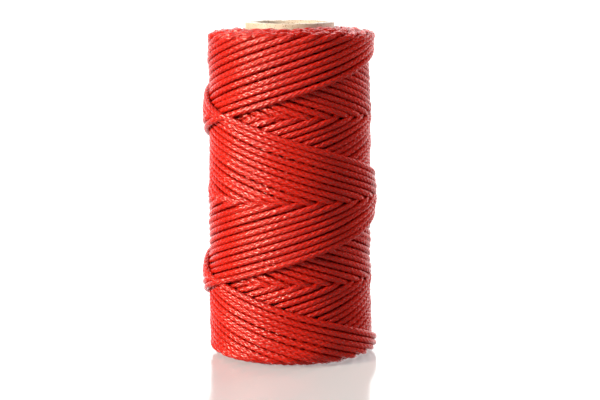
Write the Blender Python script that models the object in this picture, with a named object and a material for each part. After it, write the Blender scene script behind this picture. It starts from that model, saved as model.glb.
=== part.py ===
"""Spool of braided cord: a cardboard tube with one cord cross-wound on it in wide crossing bands.

Metres, +Z up.  The origin is the centre of the foot, on the surface that the spool stands on.
"""
import math

import bmesh
import bpy
from mathutils import Matrix, Vector

# Cardboard tube
CORE_BORE = 0.0254          # inside diameter
CORE_WALL = 0.0030
CORE_HEIGHT = 0.1185        # flush with the cord at the foot, proud of it at the top
CORE_EDGE = 0.0003          # broken edge of the cut ends
CORE_SIDES = 64

# Wound cord
CORD_THICKNESS = 0.0019     # one turn pressed flat on the turn below
WINDING_RADIUS = 0.0292     # mean outside radius at half height
WINDING_HEIGHT = 0.1164     # over the inner end loops, next to the tube
RIM_HEIGHT = 0.1150         # over the outer end loops, which slope away a little
CROWN_RADIUS = 0.0220       # where that slope begins
WINDING_TAPER = 0.022       # the foot is wider than the top by this share, where the turns have settled
GAP = 0.0003                # between the tube and the first turns

# Lay of the traverses: the cord climbs the spool in two turns and comes down in two
RISE_PER_TURN = 0.0575
WINDING_SIDES = 64          # a multiple of four, so that a line of points runs down the front
LAY_ROW = RISE_PER_TURN / WINDING_SIDES     # a traverse passes corner to corner through each cell
LAY_BASE = 0.00008          # height at which the crossing pattern starts
LAST_TURN = 23 / WINDING_SIDES              # where the last traverse ends, in turns from the front

# The shoulders, where the traverses turn back, take the rows that the straight wall leaves
FOOT_ROWS = 5
TOP_ROWS = 126
FOOT_ROUND = LAY_BASE + FOOT_ROWS * LAY_ROW
WALL_TOP = LAY_BASE + TOP_ROWS * LAY_ROW
TOP_ROUND = RIM_HEIGHT - WALL_TOP
ROUND_STEPS = 4


def clear_scene():
    for thing in list(bpy.data.objects):
        bpy.data.objects.remove(thing, do_unlink=True)


def finish_material(name, colour, roughness):
    """A plain Principled material for one sub-part."""
    material = bpy.data.materials.new(name)
    material.use_nodes = True
    shader = material.node_tree.nodes["Principled BSDF"]
    shader.inputs["Base Color"].default_value = (*colour, 1.0)
    shader.inputs["Roughness"].default_value = roughness
    shader.inputs["Metallic"].default_value = 0.0
    material.diffuse_color = (*colour, 1.0)
    return material


def turned_ring(profile, sides):
    """Spin a closed profile of (radius, height) points right round the Z axis."""
    mesh = bmesh.new()
    corners = [mesh.verts.new((radius, 0.0, height)) for radius, height in profile]
    edges = [mesh.edges.new((a, b)) for a, b in zip(corners, corners[1:] + corners[:1])]
    bmesh.ops.spin(mesh, geom=corners + edges, cent=Vector(), axis=Vector((0.0, 0.0, 1.0)),
                   angle=math.tau, steps=sides, use_merge=True)
    bmesh.ops.remove_doubles(mesh, verts=mesh.verts, dist=1e-7)
    bmesh.ops.recalc_face_normals(mesh, faces=mesh.faces)
    return mesh


def place(mesh, name, material, sharp_angle):
    """Store a bmesh as a smooth-shaded object of its own."""
    data = bpy.data.meshes.new(name)
    mesh.to_mesh(data)
    mesh.free()
    data.materials.append(material)
    data.shade_smooth()
    data.set_sharp_from_angle(angle=math.radians(sharp_angle))
    thing = bpy.data.objects.new(name, data)
    bpy.context.scene.collection.objects.link(thing)
    return thing


def arc(centre_radius, centre_height, size, start, end, steps):
    """Points of a quarter round, angles in degrees from straight out, counted upwards."""
    points = []
    for step in range(steps + 1):
        angle = math.radians(start + (end - start) * step / steps)
        points.append((centre_radius + size * math.cos(angle), centre_height + size * math.sin(angle)))
    return points


def build_core():
    bore = CORE_BORE / 2
    outside = bore + CORE_WALL
    profile = [
        (bore + CORE_EDGE, 0.0),
        (outside - CORE_EDGE, 0.0),
        (outside, CORE_EDGE),
        (outside, CORE_HEIGHT - CORE_EDGE),
        (outside - CORE_EDGE, CORE_HEIGHT),
        (bore + CORE_EDGE, CORE_HEIGHT),
        (bore, CORE_HEIGHT - CORE_EDGE),
        (bore, CORE_EDGE),
    ]
    cardboard = finish_material("core_cardboard", (0.62, 0.48, 0.33), 0.85)
    return place(turned_ring(profile, CORE_SIDES), "core_tube", cardboard, 40.0)


def since_laid(phase):
    """Age of the traverse that passes here, from 0, just laid, to 1, a whole layer old.

    It falls from 1 to 0 within one cell, which makes the step at the edge of the newest traverse.
    """
    return (phase + 1e-6) % 1.0


def lay_height(turn, height):
    """How far the wound surface stands from its mean radius, at a turn from the front and a height."""
    climb = (height - LAY_BASE) / RISE_PER_TURN
    rising = since_laid(LAST_TURN - turn + climb)
    falling = since_laid(LAST_TURN - turn - climb)
    steps = CORD_THICKNESS * (1.0 - rising - falling)
    taper = WINDING_RADIUS * WINDING_TAPER * (0.5 - height / WINDING_HEIGHT)
    return steps + taper


def build_winding():
    inner = CORE_BORE / 2 + CORE_WALL + GAP
    profile = [(inner, 0.0)]
    profile += arc(WINDING_RADIUS - FOOT_ROUND, FOOT_ROUND, FOOT_ROUND, -90.0, 0.0, ROUND_STEPS)
    for row in range(FOOT_ROWS + 1, TOP_ROWS):
        profile.append((WINDING_RADIUS, LAY_BASE + row * LAY_ROW))
    profile += arc(WINDING_RADIUS - TOP_ROUND, WALL_TOP, TOP_ROUND, 0.0, 90.0, ROUND_STEPS)
    profile.append((CROWN_RADIUS, WINDING_HEIGHT))
    profile.append((inner, WINDING_HEIGHT))
    mesh = turned_ring(profile, WINDING_SIDES)
    front = Matrix.Rotation(math.radians(90.0), 3, "Z")
    for vertex in mesh.verts:
        radius = vertex.co.xy.length
        if radius < CROWN_RADIUS + GAP:
            continue
        around = front @ vertex.co
        turn = math.atan2(around.y, around.x) / math.tau
        outward = Vector((vertex.co.x, vertex.co.y, 0.0)) / radius
        vertex.co += outward * lay_height(turn, vertex.co.z)
    bmesh.ops.triangulate(mesh, faces=mesh.faces, quad_method="SHORT_EDGE")
    cord = finish_material("braided_cord", (0.62, 0.035, 0.028), 0.45)
    return place(mesh, "winding", cord, 50.0)


def main():
    clear_scene()
    spool = bpy.data.objects.new("spool", None)
    bpy.context.scene.collection.objects.link(spool)
    for piece in (build_core(), build_winding()):
        piece.parent = spool


main()
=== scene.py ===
"""Looks of a spool of braided cord: one red cord, cross-wound on a cardboard tube.

The cord is laid down turn by turn, as a winder does it.  Every traverse settles on the turns that are
already there, so the crossing bands, the steps at the newest turns and the loops at both ends come from
the winding itself.
"""

import math

import bmesh
import bpy
import numpy as np
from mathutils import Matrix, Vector


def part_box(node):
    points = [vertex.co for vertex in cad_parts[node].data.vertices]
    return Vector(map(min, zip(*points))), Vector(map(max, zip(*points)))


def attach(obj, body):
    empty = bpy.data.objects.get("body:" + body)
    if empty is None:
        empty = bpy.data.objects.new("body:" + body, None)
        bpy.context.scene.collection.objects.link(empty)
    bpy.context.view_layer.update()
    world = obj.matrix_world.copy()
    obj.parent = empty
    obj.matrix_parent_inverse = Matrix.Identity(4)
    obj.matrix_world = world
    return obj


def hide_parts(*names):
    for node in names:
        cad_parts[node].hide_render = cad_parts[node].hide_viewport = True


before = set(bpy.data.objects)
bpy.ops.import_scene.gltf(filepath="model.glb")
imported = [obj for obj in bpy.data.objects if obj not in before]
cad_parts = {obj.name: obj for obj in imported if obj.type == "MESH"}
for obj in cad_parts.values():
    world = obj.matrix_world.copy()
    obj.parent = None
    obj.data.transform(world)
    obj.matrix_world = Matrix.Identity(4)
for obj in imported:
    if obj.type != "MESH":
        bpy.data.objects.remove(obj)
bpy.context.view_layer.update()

MM = 0.001
TAU = math.tau

# The lay of the cord.  Lengths are millimetres, and a turn is once round the spool.
TRAVERSES = 24                          # neighbouring traverses that close one full layer
CYCLE = 4 + 1 / TRAVERSES               # turns in which the cord climbs and comes down again
PASS = CYCLE / 2                        # turns of one climb or one descent
RISE = 57.5                             # climb in one turn
LAY_FOOT = -0.95                        # where the straight traverses would meet at the foot
LAY_TOP = LAY_FOOT + RISE * PASS
LAST_START = 0.343                      # where the last climb leaves the foot, in turns from the front
LAYERS_LAID = 1.45                      # laid turn by turn; deeper layers show only their end loops
GUIDE_SWINGS = ((0.14, 0.31), (0.12, 0.83), (0.07, 1.9), (0.04, 4.3))   # largest size, swings a turn
STEADY_END = 0.06                       # turns at each end of a pass in which these swings die away
FOOT_BEND, FOOT_SPREAD = 2.0, (-0.05, 0.35)         # how much the corner is rounded where the cord
TOP_BEND, TOP_SPREAD = 1.05, (-0.25, 0.25)          # turns back, and how that differs by the loop

# The wound form
SURFACE = 29.2                          # mean outside radius halfway up
TAPER = 0.022                           # the foot is wider than the top by this share
RIM_HEIGHT = 115.0                      # top of the outermost turns
CROWN_RISE = 1.4                        # the loops next to the tube stand this much above the rim
CROWN_RADIUS = 22.0                     # where they begin to slope away to it
FOOT_ROUND = 6.2                        # radius of the rounded edge at the foot
TOP_ROUND = 2.0                         # and at the rim
RIM_DROP = -0.3                         # added to the height of the rim all round
RIM_LEAN = 0.65                         # the rim leans, and is highest a little right of the front
RIM_HIGH = 0.08                         # where that is, in turns
LEAN_BAND = (96.0, 112.0)               # heights between which the lean begins
TOP_SLIP, TOP_SLIP_BAND = -0.45, (94.0, 106.0)      # how far the turns at each end have slid sideways,
FOOT_SLIP, FOOT_SLIP_BAND = 0.5, (20.0, 9.0)        # and the heights between which that begins

# The cord: eight strands braided round, pressed a little square where it is wound
WIDTH = 1.88                            # over the mean of its strands' relief
THICKNESS = 1.93                        # the same, out from the spool
SQUARENESS = 2.4                        # exponent of the section; 2 is an ellipse
BRAID_LEAD = 10.6                       # length in which a strand goes once round
ROWS_PER_LEAD = 20
ROW = BRAID_LEAD / ROWS_PER_LEAD
STRAND_RELIEF = 0.25                    # roundness of one strand
STRAND_DIVE = 0.22                      # from where a strand passes over to where it dives under
RELIEF_MEAN = 0.20                      # taken off again, so that the section keeps its size
TWISTS = ((0.30, 31.0, 0.0), (0.05, 7.1, 1.0))      # the cord's own twist: turns, period in leads, phase
CLUMPS = 7.0                            # of filaments across a strand, so about 0.2 mm each
STREAKS = 4.0                           # in the length of a lead, so 2.7 mm long
DYE_CHANGES = 0.35                      # in the depth of the dye in a lead, so one in 30 mm
GRAIN_SIZE = 2.0                        # of the light and dark in the hidden turns, a cord's width

# How the turns settle on each other
BEARING = 0.3                           # share of the width, each way, that rests on what is below
SETTLED = 0.97                          # share of its height that a turn keeps where it rests
PILE_ALLOWED = 0.25                     # how far crossings may pile up over the plan
STIFFNESS = 2.2                         # rows over which the cord can't follow a step
CURVE_OF_LAY = 0.91 / SURFACE           # curvature of a turn that slants by 17 degrees
LOOP_REACH = 11.0                       # from the end of a pass, where the turning back begins to shape it
LOOP_HOLD = 4.0                         # and where it shapes it wholly
LOOP_FALL = 5.5                         # half the length in which a loop sinks to the level below
LOOP_FOOT = 1.05                        # height of the middle of the cord in the lowest loops
LOOP_SINK = 0.3                         # how far the innermost turns are pressed on the tube
LOOP_BEND = (0.8, 1.3)                  # how much a deeper loop is rounded, from and to
LOOP_SCATTER_TOP = (-0.25, 0.25)        # and how far it stands from its place
LOOP_SCATTER_FOOT = (0.0, 0.5)
TAIL_SHORT = 1.0                        # the last descent stops this many turns short of the foot
TAIL_DIVE, TAIL_DEPTH = 0.075, 2.4      # its end goes under in so many turns, so deep

# Detail of the meshes
SECTION_ANGLES = (*range(-105, 106, 21), 150, 210)  # points round the section, few on its hidden side
LOOP_ANGLES = tuple(range(-108, 217, 36))
HIDDEN_DEPTH = 0.5                      # cord this far under the mapped surface is left out,
HIDDEN_ROWS = 4                         # but for so many rows past each end of what shows
END_SHOWN = 3.0                         # all is kept this near the foot and the rim
PIECE_ROWS = 6400                       # rows of cord in one mesh
BURIED = 2.4                            # depth of the inner ring below the finished surface
RING_GAP = 0.05                         # between the inner ring and the tube
RING_BAND = (2.2, RIM_HEIGHT - 2.6)     # heights that the ring fills
RING_ROWS = 57
RING_SIDES = 128

# The cardboard tube
CORE_BORE = 25.4
CORE_EDGE = 0.45                        # the knife leaves the rim of the tube soft
CORE_SIDES = 160
FRAY = 0.75                             # depth of the ragged dips in the rim
RIM_WAVES = (2, 3, 5, 9, 14, 23, 41)    # dips once round, from broad to fine
BORE_FRAY = 0.25                        # how far the torn plies stand in or out at the bore
PLY_PITCH = 47.0                        # climb of the strip of paper in one turn
FLECK_SIZE = 1 / 1.9                    # specks in the pulp of the board
CLOUD_SIZE = 6.25                       # and the paler and darker patches between them


def hex_linear(code):
    """An sRGB hex colour as the linear values that a shader takes."""
    channels = [int(code[i:i + 2], 16) / 255 for i in (1, 3, 5)]
    return (*[c / 12.92 if c <= 0.04045 else ((c + 0.055) / 1.055) ** 2.4 for c in channels], 1.0)


def eased(value, start, end):
    """Rises smoothly from 0 at the start to 1 at the end."""
    share = np.clip((value - start) / (end - start), 0.0, 1.0)
    return share * share * (3 - 2 * share)


# ---------------------------------------------------------------------------- winding


def section_height(across):
    """Half thickness of the cord's section at a distance from its middle line."""
    share = np.clip(np.abs(across) / (WIDTH / 2), 0.0, 1.0)
    return THICKNESS / 2 * (1.0 - share ** SQUARENESS) ** (1 / SQUARENESS)


def shoulder_drop(z, size, inset):
    """How far a rounded end pulls in a line this deep below the surface, at a height z from that end."""
    inside = max(size - inset, 0.05)
    reach = np.clip(size - z, 0.0, inside)
    return inside - np.sqrt(inside * inside - reach * reach)


def both_ends_drop(z, inset):
    """The same for both ends at once, at a height above the foot."""
    return shoulder_drop(z, FOOT_ROUND, inset) + shoulder_drop(RIM_HEIGHT - z, TOP_ROUND, inset)


def taut(along, support):
    """The line of a cord drawn tight over its support, which lies round the spool."""
    sagitta = CURVE_OF_LAY * along ** 2 / 2
    flat = support - sagitta
    hull = []
    for i in range(len(flat)):
        while len(hull) > 1:
            a, b = hull[-2], hull[-1]
            if (flat[b] - flat[a]) * (along[i] - along[a]) > (flat[i] - flat[a]) * (along[b] - along[a]):
                break
            hull.pop()
        hull.append(i)
    return np.interp(along, along[hull], flat[hull]) + sagitta


def soften(values, sigma):
    """A running mean under a bell of this width, in rows; the ends keep their values."""
    reach = int(3 * sigma)
    weights = np.exp(-0.5 * (np.arange(-reach, reach + 1) / sigma) ** 2)
    padded = np.pad(values, reach, mode="edge")
    return np.convolve(padded, weights / weights.sum(), mode="valid")


class Winder:
    """A map of the wound surface, radius by turn and height, and the passes of cord laid on it."""

    columns = 600                       # of the map, once round
    cell = 0.2                          # height of its rows
    last = 200                          # number of the last cycle; the first on the tube is above 0
    bearing = np.linspace(-BEARING, BEARING, 7) * WIDTH
    whole_width = np.linspace(-0.49, 0.49, 15) * WIDTH
    top_side = np.linspace(-0.42, 0.42, 5) * WIDTH

    def __init__(self, tube_radius):
        self.tube_radius = tube_radius
        self.heights = np.arange(int(RIM_HEIGHT / self.cell) + 1) * self.cell
        self.dice = np.random.default_rng(7)
        self.first = self.last - int(LAYERS_LAID * TRAVERSES)
        self.offset = LAST_START - self.last * CYCLE
        self.waves = [(self.dice.uniform(0.6, 1.0) * size, TAU * pace, self.dice.uniform(0, TAU))
                      for size, pace in GUIDE_SWINGS]
        self.foot_bend = FOOT_BEND + self.dice.uniform(*FOOT_SPREAD, self.last + 2)
        self.top_bend = TOP_BEND + self.dice.uniform(*TOP_SPREAD, self.last + 2)
        self.surface = self.planned(self.first)
        self.laid = []

    def level(self, cycle):
        """Radius of the surface where both families of turns are new."""
        return SURFACE + THICKNESS - 2 * THICKNESS * (self.last - cycle) / TRAVERSES

    def crown(self, radius):
        """How far the top loops at this radius stand above the rim."""
        return CROWN_RISE * min(max((SURFACE - radius) / (SURFACE - CROWN_RADIUS), 0.0), 1.0)

    def taper(self, z):
        """How far the surface stands out at a height, from its mean."""
        return SURFACE * TAPER * (0.5 - z / RIM_HEIGHT)

    def planned(self, cycle):
        """The surface after so many cycles, from the ages of the turns that cross at each point."""
        turn = (np.arange(self.columns) / self.columns)[:, None]
        climb = ((self.heights - LAY_FOOT) / RISE)[None, :]
        start = cycle * CYCLE + self.offset
        ages = (start - turn + climb) % 1.0 + (start + CYCLE - turn - climb) % 1.0
        form = self.taper(self.heights) - both_ends_drop(self.heights, 0)
        return self.level(cycle) - THICKNESS * ages + form[None, :]

    def wander(self, turn):
        """The guide never lays two traverses at quite the same distance."""
        return sum(size * np.sin(pace * turn + phase) for size, pace, phase in self.waves)

    def route(self, cycle, rising, x):
        """Turn and height of a pass, at x turns after the end where it starts."""
        up = x if rising else PASS - x
        foot = self.foot_bend[cycle if rising else cycle + 1]
        top = self.top_bend[cycle]
        crown = self.crown(self.level(cycle) - THICKNESS)
        near_foot = LAY_FOOT + np.sqrt((RISE * up) ** 2 + foot ** 2)
        near_top = LAY_TOP - np.sqrt((RISE * (PASS - up)) ** 2 + top ** 2) + crown
        share = eased(up / PASS, 0.25, 0.75)    # one end gives way to the other over the middle half
        turn = self.offset + cycle * CYCLE + x + (0.0 if rising else PASS)
        free = np.clip(np.minimum(up, PASS - up) / STEADY_END, 0.0, 1.0)
        z = near_foot * (1 - share) + near_top * share + self.wander(turn) * free
        return turn, z

    def sample(self, turn, z):
        """Radius of the map between its points."""
        column = (turn % 1.0) * self.columns
        low = np.floor(column).astype(int)
        part = column - low
        row = np.clip(z / self.cell, 0, len(self.heights) - 1.001)
        base = row.astype(int)
        up = row - base
        left, right = low % self.columns, (low + 1) % self.columns
        lower = self.surface[left, base] * (1 - part) + self.surface[right, base] * part
        upper = self.surface[left, base + 1] * (1 - part) + self.surface[right, base + 1] * part
        return lower * (1 - up) + upper * up

    def slant(self, turn, z):
        """Unit vector across the cord, as steps in turn and in height."""
        ahead = np.gradient(turn) * TAU * SURFACE
        climb = np.gradient(z)
        size = np.hypot(ahead, climb)
        return -climb / size / (TAU * SURFACE), ahead / size

    def support(self, turn, z, side_turn, side_z):
        """Radius that the middle of the cord needs, to rest on what is below it."""
        need = np.zeros(len(turn))
        for across in self.bearing:
            under = self.sample(turn + across * side_turn, z + across * side_z)
            need = np.maximum(need, under + SETTLED * section_height(across))
        return need

    def turned_back(self, radius, along, z, half):
        """Round the ends the turns press together, and sink from the level they arrive at to the next."""
        ends = both_ends_drop(z, THICKNESS / 2)
        for distance, falls, when in ((along, 1.0, half), (along[-1] - along, -1.0, half + 0.5)):
            sunk = THICKNESS * eased(falls * distance, -LOOP_FALL, LOOP_FALL)
            plan = self.level(when) - THICKNESS / 2 - sunk + self.taper(z) - ends
            weight = eased(distance, LOOP_REACH, LOOP_HOLD)
            radius = radius * (1 - weight) + plan * weight
        return radius

    def lay(self, cycle, rising):
        """Lay one climb or descent on the turns that are there, and raise the map by it."""
        count = int(round(PASS * math.hypot(TAU * SURFACE, RISE) / ROW)) + 1
        x = np.linspace(0.0, PASS, count)
        turn, z = self.route(cycle, rising, x)
        side_turn, side_z = self.slant(turn, z)
        along = np.arange(count) * ROW
        half = cycle if rising else cycle + 0.5
        # Where turns cross again and again they press together, so the pile grows little over the plan
        climb = (z - LAY_FOOT) / RISE * (-1 if rising else 1)
        age = (self.offset + cycle * CYCLE - turn + climb) % 1.0
        plan = self.level(half) - THICKNESS * (0.5 + age) + self.taper(z)
        radius = taut(along, self.support(turn, z, side_turn, side_z))
        radius = soften(np.minimum(radius, taut(along, plan) + PILE_ALLOWED), STIFFNESS)
        radius = self.turned_back(radius, along, z, half)
        if cycle == self.last and not rising:
            end = PASS - TAIL_SHORT
            dive = np.clip((x - end + TAIL_DIVE) / TAIL_DIVE, 0.0, 1.0)
            radius = radius - TAIL_DEPTH * dive * dive
            turn, z, radius, side_turn, side_z = (v[x < end] for v in (turn, z, radius, side_turn, side_z))
        self.press(turn, z, radius, side_turn, side_z)
        self.laid.append(np.stack([turn, z, radius])[:, 1 if self.laid else 0:])

    def press(self, turn, z, radius, side_turn, side_z):
        """Raise the map to the top of a pass that has been laid."""
        fine = np.arange(0, len(turn) - 1, 0.5)
        index = np.arange(len(turn))
        turn, z, radius, side_turn, side_z = (np.interp(fine, index, v)
                                              for v in (turn, z, radius, side_turn, side_z))
        for across in self.whole_width:
            column = np.round((turn + across * side_turn) * self.columns).astype(int) % self.columns
            row = np.round((z + across * side_z) / self.cell).astype(int)
            inside = (row >= 0) & (row < len(self.heights))
            np.maximum.at(self.surface, (column[inside], row[inside]),
                          (radius + section_height(across))[inside])

    def wind(self):
        """Lay the cord, and give its whole path as turn, height and radius, row by row."""
        for cycle in range(self.first, self.last + 1):
            self.lay(cycle, True)
            self.lay(cycle, False)
        return np.concatenate(self.laid, axis=1)

    def shown(self, path):
        """The stretches of the path that can be seen from outside, with a few hidden rows past each end."""
        turn, z, radius = path
        side_turn, side_z = self.slant(turn, z)
        seen = (z < END_SHOWN) | (z > RIM_HEIGHT - END_SHOWN)
        for across in self.top_side:
            surface = self.sample(turn + across * side_turn, z + across * side_z)
            seen |= radius + section_height(across) - surface > -HIDDEN_DEPTH
        seen = np.convolve(seen.astype(float), np.ones(2 * HIDDEN_ROWS + 1), mode="same") > 0.5
        edges = np.flatnonzero(np.diff(np.concatenate([[0], seen.astype(int), [0]])))
        return [slice(start, end) for start, end in edges.reshape(-1, 2) if end - start > 2]


# ---------------------------------------------------------------------------- cord geometry


def section_point(angle):
    """A point of the cord's section; the angle is 0 on the outside of the winding."""
    out, side = math.cos(angle), math.sin(angle)
    sizes = abs(out / (THICKNESS / 2)) ** SQUARENESS + abs(side / (WIDTH / 2)) ** SQUARENESS
    reach = sizes ** (-1 / SQUARENESS)
    return out * reach, side * reach


def section_curve(angles):
    """The section as a closed flat curve, which the path of the cord carries along."""
    curve = bpy.data.curves.new("cord_section", "CURVE")
    curve.dimensions = "2D"
    spline = curve.splines.new("POLY")
    spline.points.add(len(angles) - 1)
    for point, angle in zip(spline.points, angles):
        x, y = section_point(math.radians(angle))
        point.co = (x * MM, y * MM, 0.0, 1.0)
    spline.use_cyclic_u = True
    section = bpy.data.objects.new("cord_section", curve)
    bpy.context.scene.collection.objects.link(section)
    return section


def in_space(turn, z, radius):
    """Points in millimetres from turns, heights and radii.  The ends are not quite true to the tube."""
    angle = TAU * np.asarray(turn)
    slip = TOP_SLIP * eased(z, *TOP_SLIP_BAND) + FOOT_SLIP * eased(z, *FOOT_SLIP_BAND)
    lean = RIM_DROP + RIM_LEAN * np.cos(angle - TAU * RIM_HIGH)
    height = z + lean * eased(z, *LEAN_BAND)
    return np.stack([radius * np.sin(angle) + slip, -radius * np.cos(angle), height], axis=-1)


def braid_relief(around, along):
    """How far the braid stands off the section: four strands run each way, over one and under one."""
    dive = STRAND_DIVE / 2 * np.cos(4 * TAU * around)
    strands = []
    for way, height in ((-1, dive), (1, -dive)):
        off_middle = (4 * (along + way * around) + 0.5) % 1.0 - 0.5
        strands.append(height + STRAND_RELIEF * (1 - (2 * off_middle) ** 2))
    return np.maximum(*strands) - RELIEF_MEAN


def swept(name, runs, angles):
    """Carry the section along each run.  Gives the mesh, and the middle of each row of its points."""
    curve = bpy.data.curves.new(name, "CURVE")
    curve.dimensions = "3D"
    curve.twist_mode = "Z_UP"
    curve.bevel_mode = "OBJECT"
    curve.bevel_object = section_curve(angles)
    centres = []
    for turn, z, radius, _ in runs:
        points = in_space(turn, z, radius)
        spline = curve.splines.new("POLY")
        spline.points.add(len(points) - 1)
        spline.points.foreach_set("co", np.hstack([points * MM, np.ones((len(points), 1))]).ravel())
        centres.append(points)
    path = bpy.data.objects.new(name, curve)
    bpy.context.scene.collection.objects.link(path)
    graph = bpy.context.evaluated_depsgraph_get()
    mesh = bpy.data.meshes.new_from_object(path.evaluated_get(graph), depsgraph=graph)
    mesh.name = name
    bpy.data.objects.remove(curve.bevel_object, do_unlink=True)
    bpy.data.objects.remove(path, do_unlink=True)
    return mesh, np.concatenate(centres)


def raise_strands(mesh, centres, around, along):
    """Move each point of the section out or in, to the top of the strand that passes there."""
    spots = np.empty(len(mesh.vertices) * 3)
    mesh.vertices.foreach_get("co", spots)
    arms = spots.reshape(*around.shape, 3) / MM - centres[:, None, :]
    reach = np.linalg.norm(arms, axis=2, keepdims=True)
    spots = centres[:, None, :] + arms * (1 + braid_relief(around, along)[:, :, None] / reach)
    mesh.vertices.foreach_set("co", (spots * MM).ravel())


def store_lay(mesh, around, along):
    """Keep the place once round the cord, and its length in leads, for the braid in the material."""
    sides = around.shape[1]
    corners = np.empty(len(mesh.loops), int)
    mesh.loops.foreach_get("vertex_index", corners)
    corners = corners.reshape(-1, 4)
    place = corners % sides
    wraps = (place.max(axis=1, keepdims=True) == sides - 1) & (place == 0)
    lay = np.stack([around.ravel()[corners] + wraps, along.ravel()[corners]], axis=-1)
    mesh.uv_layers.new(name="cord_lay").data.foreach_set("uv", lay.astype(np.float32).ravel())


def sweep_cord(name, runs, angles):
    """One piece made of the given stretches of cord.  A stretch is (turn, z, radius, leads), row by row."""
    mesh, centres = swept(name, runs, angles)
    leads = np.concatenate([lead for *_, lead in runs])
    twist = sum(turns * np.sin(TAU * leads / period + phase) for turns, period, phase in TWISTS)
    around = np.array(angles)[None, :] / 360 + twist[:, None]
    along = np.repeat(leads[:, None], len(angles), axis=1)
    raise_strands(mesh, centres, around, along)
    store_lay(mesh, around, along)

    shell = bmesh.new()
    shell.from_mesh(mesh)
    open_ends = [edge for edge in shell.edges if edge.is_boundary]
    bmesh.ops.holes_fill(shell, edges=open_ends, sides=len(angles))
    bmesh.ops.recalc_face_normals(shell, faces=shell.faces)
    for face in shell.faces:
        face.smooth = len(face.verts) == 4
    shell.to_mesh(mesh)
    shell.free()
    piece = bpy.data.objects.new(name, mesh)
    bpy.context.scene.collection.objects.link(piece)
    return piece


def end_loop(winder, cycle, at_top):
    """A loop of a deeper layer, where the cord turned back at one end.  Its rows are twice as far apart."""
    level = winder.level(cycle) - THICKNESS
    reach = LOOP_REACH / (TAU * level)
    count = int(LOOP_REACH / ROW) + 1
    x = np.linspace(-reach, reach, count)
    tight = winder.dice.uniform(*LOOP_BEND)
    bend = tight - np.sqrt((RISE * x) ** 2 + tight ** 2)
    if at_top:
        turn = winder.offset + cycle * CYCLE + PASS + x
        z = RIM_HEIGHT - WIDTH / 2 + winder.crown(level) + winder.dice.uniform(*LOOP_SCATTER_TOP) + bend
    else:
        turn = winder.offset + cycle * CYCLE + x
        z = LOOP_FOOT + winder.dice.uniform(*LOOP_SCATTER_FOOT) - bend
    radius = level + THICKNESS * (0.5 - eased(x * TAU * level, -LOOP_FALL, LOOP_FALL))
    lead = winder.dice.uniform(0, 1) + np.arange(count) * 2 / ROWS_PER_LEAD
    return turn, z, np.maximum(radius, winder.tube_radius + THICKNESS / 2), lead


def deepest_loop(winder):
    """Number of the first cycle whose loops still have room on the tube."""
    cycle = winder.first
    while winder.level(cycle) - THICKNESS > winder.tube_radius + THICKNESS / 2 - LOOP_SINK:
        cycle -= 1
    return cycle + 1


# ---------------------------------------------------------------------------- pieces


def cord_pieces(winder):
    """The wound cord that shows, in meshes of a handy size, then the end loops of the deeper layers."""
    path = winder.wind()
    leads = np.arange(path.shape[1]) / ROWS_PER_LEAD
    batches, room = [], 0
    for stretch in winder.shown(path):
        length = stretch.stop - stretch.start
        if length > room:
            batches.append([])
            room = PIECE_ROWS
        batches[-1].append((*path[:, stretch], leads[stretch]))
        room -= length
    made = [sweep_cord(f"cord_turns_{number}", batch, SECTION_ANGLES)
            for number, batch in enumerate(batches, 1)]
    for name, at_top in (("end_loops_top", True), ("end_loops_foot", False)):
        loops = [end_loop(winder, cycle, at_top) for cycle in range(deepest_loop(winder), winder.first)]
        made.append(sweep_cord(name, loops, LOOP_ANGLES))
    return made


def turned(outline, sides):
    """A closed outline of (radius, height) in millimetres, turned once round the spool's axis."""
    shell = bmesh.new()
    points = [shell.verts.new((radius * MM, 0.0, z * MM)) for radius, z in outline]
    rim = [shell.edges.new((a, b)) for a, b in zip(points, points[1:] + points[:1])]
    bmesh.ops.spin(shell, geom=points + rim, cent=(0, 0, 0), axis=(0, 0, 1), angle=TAU, steps=sides,
                   use_merge=True, use_duplicate=False)
    bmesh.ops.remove_doubles(shell, verts=shell.verts, dist=1e-6)
    bmesh.ops.recalc_face_normals(shell, faces=shell.faces)
    return shell


def finished(name, shell, smooth=True):
    """Store a bmesh as an object of its own."""
    mesh = bpy.data.meshes.new(name)
    for face in shell.faces:
        face.smooth = smooth
    shell.to_mesh(mesh)
    shell.free()
    piece = bpy.data.objects.new(name, mesh)
    bpy.context.scene.collection.objects.link(piece)
    return piece


def build_inner_turns(winder):
    """The cord packed under the visible turns, as one dark ring that closes the gaps between them."""
    inner = winder.tube_radius + RING_GAP
    heights = np.linspace(*RING_BAND, RING_ROWS)
    outline = [(inner, heights[0]), (inner, heights[-1])]
    outline += [(SURFACE, z) for z in heights[::-1]]
    shell = turned(outline, RING_SIDES)
    field = winder.planned(winder.last)
    for vert in shell.verts:
        x, y, z = (c / MM for c in vert.co)
        if math.hypot(x, y) < SURFACE - 1:      # the wall next to the tube stays round
            continue
        column = int(round((math.atan2(x, -y) / TAU % 1.0) * winder.columns)) % winder.columns
        radius = field[column, int(z / winder.cell)] - BURIED
        vert.co.xy = vert.co.xy.normalized() * radius * MM
    return finished("inner_turns", shell)


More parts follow.
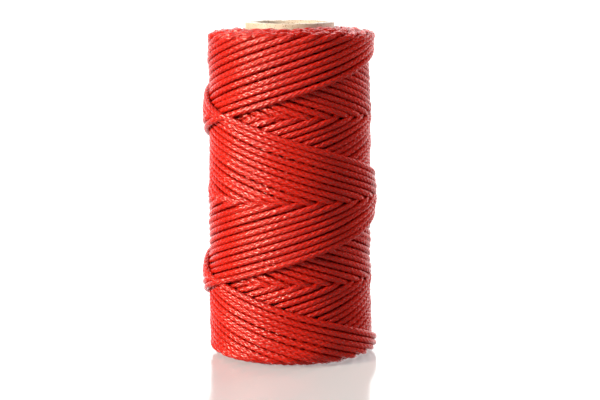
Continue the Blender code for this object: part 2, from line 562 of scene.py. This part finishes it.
def build_core(outer, height):
    """The cardboard tube: cut to length with a knife, its rim at the top ragged."""
    bore, edge = CORE_BORE / 2, CORE_EDGE
    # Up the outside from the foot, over the rim, and down the bore
    outline = [(bore, edge), (bore + edge, 0.0), (outer - edge, 0.0), (outer, edge)]
    outline += [(outer, z) for z in np.linspace(4, height - 4, 24)]
    outline += [(outer, height - edge), (outer - 0.3 * edge, height - 0.3 * edge), (outer - edge, height)]
    outline += [(outer - edge - 0.35, height), (bore + edge + 0.35, height), (bore + 0.25, height - 0.1)]
    outline += [(bore, height - edge)]
    outline += [(bore, z) for z in np.linspace(height - 4, 4, 24)]
    shell = turned(outline, CORE_SIDES)
    dice = np.random.default_rng(3)
    waves = [(k, dice.uniform(0.4, 1.0) / math.sqrt(k), dice.uniform(0, TAU)) for k in RIM_WAVES]
    size = sum(strength for _, strength, _ in waves)
    for vert in shell.verts:
        x, y, z = (c / MM for c in vert.co)
        if z < height - 1:                      # only the cut end is ragged
            continue
        angle = math.atan2(y, x)
        torn = sum(strength * math.sin(k * angle + phase) for k, strength, phase in waves) / size
        ragged = 0.5 - 0.5 * torn                 # 0 where a ply still stands at full height
        vert.co.z -= FRAY * ragged * MM
        if math.hypot(x, y) < bore + 0.5:
            vert.co.xy *= 1 + BORE_FRAY * torn / bore
    return finished("core_cardboard_tube", shell)


core_low, core_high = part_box("core_tube")
core_radius = (core_high[0] - core_low[0]) / 2 / MM
winder = Winder(core_radius)
pieces = cord_pieces(winder)
inner_turns = build_inner_turns(winder)
core = build_core(core_high[0] / MM, core_high[2] / MM)


# ---------------------------------------------------------------------------- materials


# Inputs by place: MapRange takes 0 from the range 1 to 2, to the range 3 to 4 (0 to 1 if not given).
# Mix takes 0 as the share, and goes from 4 to 5 for vectors and from 6 to 7 for colours.
SMOOTH = {"interpolation_type": "SMOOTHSTEP"}
COLOURS = {"data_type": "RGBA"}


def add(tree, kind, settings=None, inputs=None):
    """Add one node, with its settings by name and its inputs by name or place.

    An input takes a value, an output, or a node, which stands for its first output.
    """
    node = tree.nodes.new("ShaderNode" + kind)
    for name, value in (settings or {}).items():
        setattr(node, name, value)
    for name, value in (inputs or {}).items():
        source = value.outputs[0] if isinstance(value, bpy.types.Node) else value
        if isinstance(source, bpy.types.NodeSocket):
            tree.links.new(source, node.inputs[name])
        else:
            node.inputs[name].default_value = source
    return node


def new_material(name, **values):
    """A Principled material with the values that are the same all over its surface."""
    material = bpy.data.materials.new(name)
    material.use_nodes = True
    shader = material.node_tree.nodes["Principled BSDF"]
    for socket, value in values.items():
        shader.inputs[socket.replace("_", " ")].default_value = value
    return material, material.node_tree, shader


def braided_polyester():
    """Filament polyester, dyed red and braided from eight strands.

    The strands are bundles of fine glossy filaments, so each shows a soft highlight along itself.
    The creases where one strand dives under the next, and the low sides of each strand, are painted deep red
    as shade.
    """
    material, tree, shader = new_material("braided_polyester_cord", Specular_IOR_Level=0.78)
    lay = add(tree, "UVMap", {"uv_map": "cord_lay"})
    parts = add(tree, "SeparateXYZ", None, {0: lay})
    around, along = parts.outputs["X"], parts.outputs["Y"]

    # The same braid as in the mesh, but sharp: which strand is on top, and how far off its middle this is
    quarter = add(tree, "Math", {"operation": "MULTIPLY"}, {0: around, 1: 4 * TAU})
    dive = add(tree, "Math", {"operation": "COSINE"}, {0: quarter})
    heights, bundles = [], []
    for way in (-1, 1):
        slanted = add(tree, "Math", {"operation": "MULTIPLY_ADD"}, {0: around, 1: way, 2: along})
        count = add(tree, "Math", {"operation": "MULTIPLY_ADD"}, {0: slanted, 1: 4.0, 2: 0.5})
        part = add(tree, "Math", {"operation": "FRACT"}, {0: count})
        off_middle = add(tree, "Math", {"operation": "SUBTRACT"}, {0: part, 1: 0.5})
        square = add(tree, "Math", {"operation": "MULTIPLY"}, {0: off_middle, 1: off_middle})
        back = add(tree, "Math", {"operation": "MULTIPLY"}, {0: square, 1: -4 * STRAND_RELIEF})
        heights.append(add(tree, "Math", {"operation": "MULTIPLY_ADD"},
                           {0: dive, 1: -way * STRAND_DIVE / 2, 2: back}))
        lengthwise = add(tree, "Math", {"operation": "MULTIPLY_ADD"}, {0: around, 1: -way, 2: along})
        bundles.append(add(tree, "CombineXYZ", None, {0: off_middle, 1: lengthwise, 2: float(way)}))
    step = add(tree, "Math", {"operation": "SUBTRACT"}, {0: heights[0], 1: heights[1]})
    first_on_top = add(tree, "Math", {"operation": "GREATER_THAN"}, {0: step, 1: 0.0})
    bundle = add(tree, "Mix", {"data_type": "VECTOR"}, {0: first_on_top, 4: bundles[1], 5: bundles[0]})
    apart = add(tree, "Math", {"operation": "ABSOLUTE"}, {0: step})
    top = add(tree, "Math", {"operation": "MAXIMUM"}, {0: heights[0], 1: heights[1]})
    crest = add(tree, "MapRange", SMOOTH, {0: top, 1: -0.15, 2: -0.02})
    crease = add(tree, "MapRange", SMOOTH, {0: apart, 1: 0.0, 2: 0.05})

    # A real filament is a tenth of a clump or less; the clumps are as coarse as they need to be to show
    stretched = add(tree, "Mapping", None, {"Vector": bundle.outputs[1], "Scale": (CLUMPS, STREAKS, 1.0)})
    filaments = add(tree, "TexNoise", None, {"Vector": stretched, "Scale": 1.0, "Detail": 2.0})
    fibre = add(tree, "MapRange", None, {0: filaments, 1: 0.3, 2: 0.7})

    # The dye takes a little unevenly along the cord
    drift = add(tree, "CombineXYZ", None, {0: along, 1: 0.0, 2: 0.0})
    dye = add(tree, "TexNoise", None, {"Vector": drift, "Scale": DYE_CHANGES, "Detail": 1.0})
    red = add(tree, "ValToRGB", None, {0: dye})
    red.color_ramp.elements[0].position, red.color_ramp.elements[1].position = 0.3, 0.7
    red.color_ramp.elements[0].color = hex_linear("#CA1805")
    red.color_ramp.elements[1].color = hex_linear("#DA1F06")
    # Painted shade: the red darkens off each strand's crest and into the creases between strands, where the
    # braid shades itself.  The same mask makes the creases rougher.
    shade = add(tree, "Math", {"operation": "MULTIPLY"}, {0: crest, 1: crease})
    crease_shaded_red = add(tree, "Mix", COLOURS, {0: shade, 6: hex_linear("#940A04"), 7: red})
    streak = add(tree, "MapRange", None, {0: fibre, 3: 0.86, 4: 1.05})
    colour = add(tree, "VectorMath", {"operation": "SCALE"}, {0: crease_shaded_red.outputs[2], "Scale": streak})
    tree.links.new(colour.outputs[0], shader.inputs["Base Color"])
    gloss = add(tree, "MapRange", None, {0: shade, 3: 0.45, 4: 0.26})
    tree.links.new(gloss.outputs[0], shader.inputs["Roughness"])

    groove = add(tree, "Math", {"operation": "MULTIPLY"}, {0: crease, 1: 0.01})
    rounded = add(tree, "Math", {"operation": "MULTIPLY_ADD"}, {0: top, 1: 0.7, 2: groove})
    relief = add(tree, "Math", {"operation": "MULTIPLY_ADD"}, {0: fibre, 1: 0.006, 2: rounded})
    bump = add(tree, "Bump", None, {"Strength": 1.0, "Distance": MM, "Height": relief})
    tree.links.new(bump.outputs[0], shader.inputs["Normal"])
    return material


def shaded_polyester():
    """The same cord in deep shade, so almost black red.  It is only ever seen through a gap."""
    material, tree, shader = new_material("braided_polyester_in_shade", Roughness=0.9, Specular_IOR_Level=0.1)
    place = add(tree, "TexCoord").outputs["Object"]
    grain = add(tree, "TexNoise", None, {"Vector": place, "Scale": 1 / (GRAIN_SIZE * MM), "Detail": 1.0})
    red = add(tree, "ValToRGB", None, {0: grain})
    red.color_ramp.elements[0].color = hex_linear("#120101")
    red.color_ramp.elements[1].color = hex_linear("#2C0303")
    tree.links.new(red.outputs[0], shader.inputs["Base Color"])
    return material


def wound_cardboard(outer, height):
    """Core board: strips of grey-brown paper glued in a spiral, and cut to length with a knife.

    It is matt, clouded and flecked, with a fine dark line at the seam.  At the cut the torn plies are pale,
    and their near white is also a painted highlight where the cut edge catches the light.
    """
    material, tree, shader = new_material("spiral_wound_core_board", Roughness=0.85, Specular_IOR_Level=0.2)
    place = add(tree, "TexCoord").outputs["Object"]
    parts = add(tree, "SeparateXYZ", None, {0: place})
    fleck = add(tree, "TexNoise", None, {"Vector": place, "Scale": 1 / (FLECK_SIZE * MM), "Detail": 2.0})
    cloud = add(tree, "TexNoise", None, {"Vector": place, "Scale": 1 / (CLOUD_SIZE * MM), "Detail": 3.0})
    board = add(tree, "ValToRGB", None, {0: cloud})
    board.color_ramp.elements[0].position, board.color_ramp.elements[1].position = 0.3, 0.7
    board.color_ramp.elements[0].color = hex_linear("#C2B09E")
    board.color_ramp.elements[1].color = hex_linear("#DCCCBD")
    flecks = add(tree, "MapRange", SMOOTH, {0: fleck, 1: 0.29, 2: 0.42})
    speckled = add(tree, "Mix", COLOURS, {0: flecks, 6: hex_linear("#8A6E52"), 7: board})

    # The outer strip butts against itself along a spiral seam, less than a millimetre wide
    angle = add(tree, "Math", {"operation": "ARCTAN2"}, {0: parts.outputs["Y"], 1: parts.outputs["X"]})
    climb = add(tree, "Math", {"operation": "MULTIPLY"}, {0: parts.outputs["Z"], 1: 1 / (PLY_PITCH * MM)})
    spiral = add(tree, "Math", {"operation": "MULTIPLY_ADD"}, {0: angle, 1: -1 / TAU, 2: climb})
    turn = add(tree, "Math", {"operation": "FRACT"}, {0: spiral})
    off_seam = add(tree, "Math", {"operation": "SUBTRACT"}, {0: turn, 1: 0.5})
    apart = add(tree, "Math", {"operation": "ABSOLUTE"}, {0: off_seam})
    seam = add(tree, "MapRange", SMOOTH, {0: apart, 1: 0.003, 2: 0.009})
    seamed = add(tree, "Mix", COLOURS, {0: seam, 6: hex_linear("#7B6248"), 7: speckled.outputs[2]})

    # Round the knife cut the plies are torn and show the pale inside of the paper, and the near white band is
    # also a painted highlight where the edge catches the light.  It reaches 0.2 mm down at the bore, and 0.65
    # mm at the outside
    level = add(tree, "CombineXYZ", None, {0: parts.outputs["X"], 1: parts.outputs["Y"], 2: 0.0})
    radius = add(tree, "VectorMath", {"operation": "LENGTH"}, {0: level})
    reach = add(tree, "MapRange", None, {0: radius.outputs["Value"], 1: CORE_BORE / 2 * MM + 0.3 * MM,
                                         2: outer - 0.3 * MM, 3: 0.2 * MM, 4: 0.65 * MM})
    depth = add(tree, "Math", {"operation": "SUBTRACT"}, {0: height, 1: parts.outputs["Z"]})
    share = add(tree, "Math", {"operation": "DIVIDE"}, {0: depth, 1: reach})
    whole = add(tree, "MapRange", SMOOTH, {0: share, 1: 0.5, 2: 1.1, 3: 1.0, 4: 0.0})
    torn = add(tree, "Math", {"operation": "MULTIPLY"}, {0: whole, 1: flecks})
    cut = add(tree, "Mix", COLOURS, {0: torn, 6: seamed.outputs[2], 7: hex_linear("#FBF8F4")})
    tree.links.new(cut.outputs[2], shader.inputs["Base Color"])
    groove = add(tree, "Math", {"operation": "MULTIPLY_ADD"}, {0: seam, 1: 0.8, 2: fleck})
    bump = add(tree, "Bump", None, {"Strength": 0.6, "Distance": MM * 0.12, "Height": groove})
    tree.links.new(bump.outputs[0], shader.inputs["Normal"])
    return material


cord_finish = braided_polyester()
for piece in pieces:
    piece.data.materials.append(cord_finish)
inner_turns.data.materials.append(shaded_polyester())
core.data.materials.append(wound_cardboard(core_high[0], core_high[2]))

for piece in pieces + [inner_turns]:
    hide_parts("winding")
    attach(piece, "root")
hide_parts("core_tube")
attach(core, "root")


# ---------------------------------------------------------------------------- studio


scene = bpy.context.scene
floor_shell = bmesh.new()
bmesh.ops.create_grid(floor_shell, x_segments=1, y_segments=1, size=8.0)
floor = finished("floor", floor_shell, smooth=False)
floor_finish, floor_tree, floor_shader = new_material("opal_acrylic_sheet", Roughness=0.14)
floor_shader.inputs["Base Color"].default_value = hex_linear("#A8A8A8")
floor_shader.inputs["Emission Color"].default_value = hex_linear("#FFFFFF")
# A glossy opal sheet, which mirrors the foot of the spool.  It is lit from below, but not in front
place = add(floor_tree, "TexCoord")
row = add(floor_tree, "SeparateXYZ", None, {0: place.outputs["Object"]})
lit = add(floor_tree, "MapRange", SMOOTH, {0: row.outputs["Y"], 1: -0.25, 2: -0.09, 3: 0.0, 4: 0.31})
floor_tree.links.new(lit.outputs[0], floor_shader.inputs["Emission Strength"])
floor.data.materials.append(floor_finish)
floor.visible_glossy = False            # seen in the cord, a pale floor would only dull its shaded side

# Light comes round the object from a bright background; the room in front of it is dim
world = bpy.data.worlds.new("white_studio")
world.use_nodes = True
sky = world.node_tree
direction = add(sky, "TexCoord")
split = add(sky, "SeparateXYZ", None, {0: direction.outputs["Generated"]})
behind = add(sky, "MapRange", SMOOTH, {0: split.outputs["Y"], 1: 0.6, 2: 0.97, 3: 0.07, 4: 2.3})
sky.links.new(behind.outputs["Result"], sky.nodes["Background"].inputs["Strength"])
sky.nodes["Background"].inputs["Color"].default_value = (1.0, 1.0, 1.0, 1.0)
scene.world = world


def add_light(name, place, aim, size, power, colour=(1.0, 1.0, 1.0), highlights=True):
    """A soft panel, turned to its aim.  Without highlights it lifts the shade and leaves the gloss clean."""
    lamp = bpy.data.lights.new(name, "AREA")
    lamp.shape = "RECTANGLE"
    lamp.size, lamp.size_y = size
    lamp.energy = power
    lamp.color = colour
    light = bpy.data.objects.new(name, lamp)
    light.location = place
    light.rotation_euler = (Vector(aim) - Vector(place)).to_track_quat("-Z", "Y").to_euler()
    light.visible_glossy = highlights
    scene.collection.objects.link(light)


add_light("key_softbox", (-1.08, -0.65, 0.45), (0, 0, 0.06), (0.34, 0.14), 28, colour=(1.0, 0.90, 0.71))
add_light("rim_softbox", (0.35, 0.9, 0.9), (0, 0, 0.08), (0.3, 0.3), 2)
add_light("fill_softbox", (0.78, 0.50, 0.30), (0, 0, 0.07), (0.5, 0.8), 9.0, highlights=False)
add_light("overhead_softbox", (-0.12, -0.16, 0.36), (0, 0, 0.1), (0.2, 0.15), 0.25)
add_light("near_softbox", (0.14, -0.06, 0.28), (0.01, 0, 0.115), (0.1, 0.1), 0.14, highlights=False)

# A long lens a little above the rim, tipped down
camera_lens = bpy.data.cameras.new("camera")
camera_lens.lens = 105.2
camera_lens.sensor_width = 36.0
camera = bpy.data.objects.new("camera", camera_lens)
camera.location = (0.0036, -0.620, 0.1436)
camera.rotation_euler = (math.radians(90 - 8.165), 0.0, 0.0)
scene.collection.objects.link(camera)
scene.camera = camera
scene.view_settings.view_transform = "Standard"
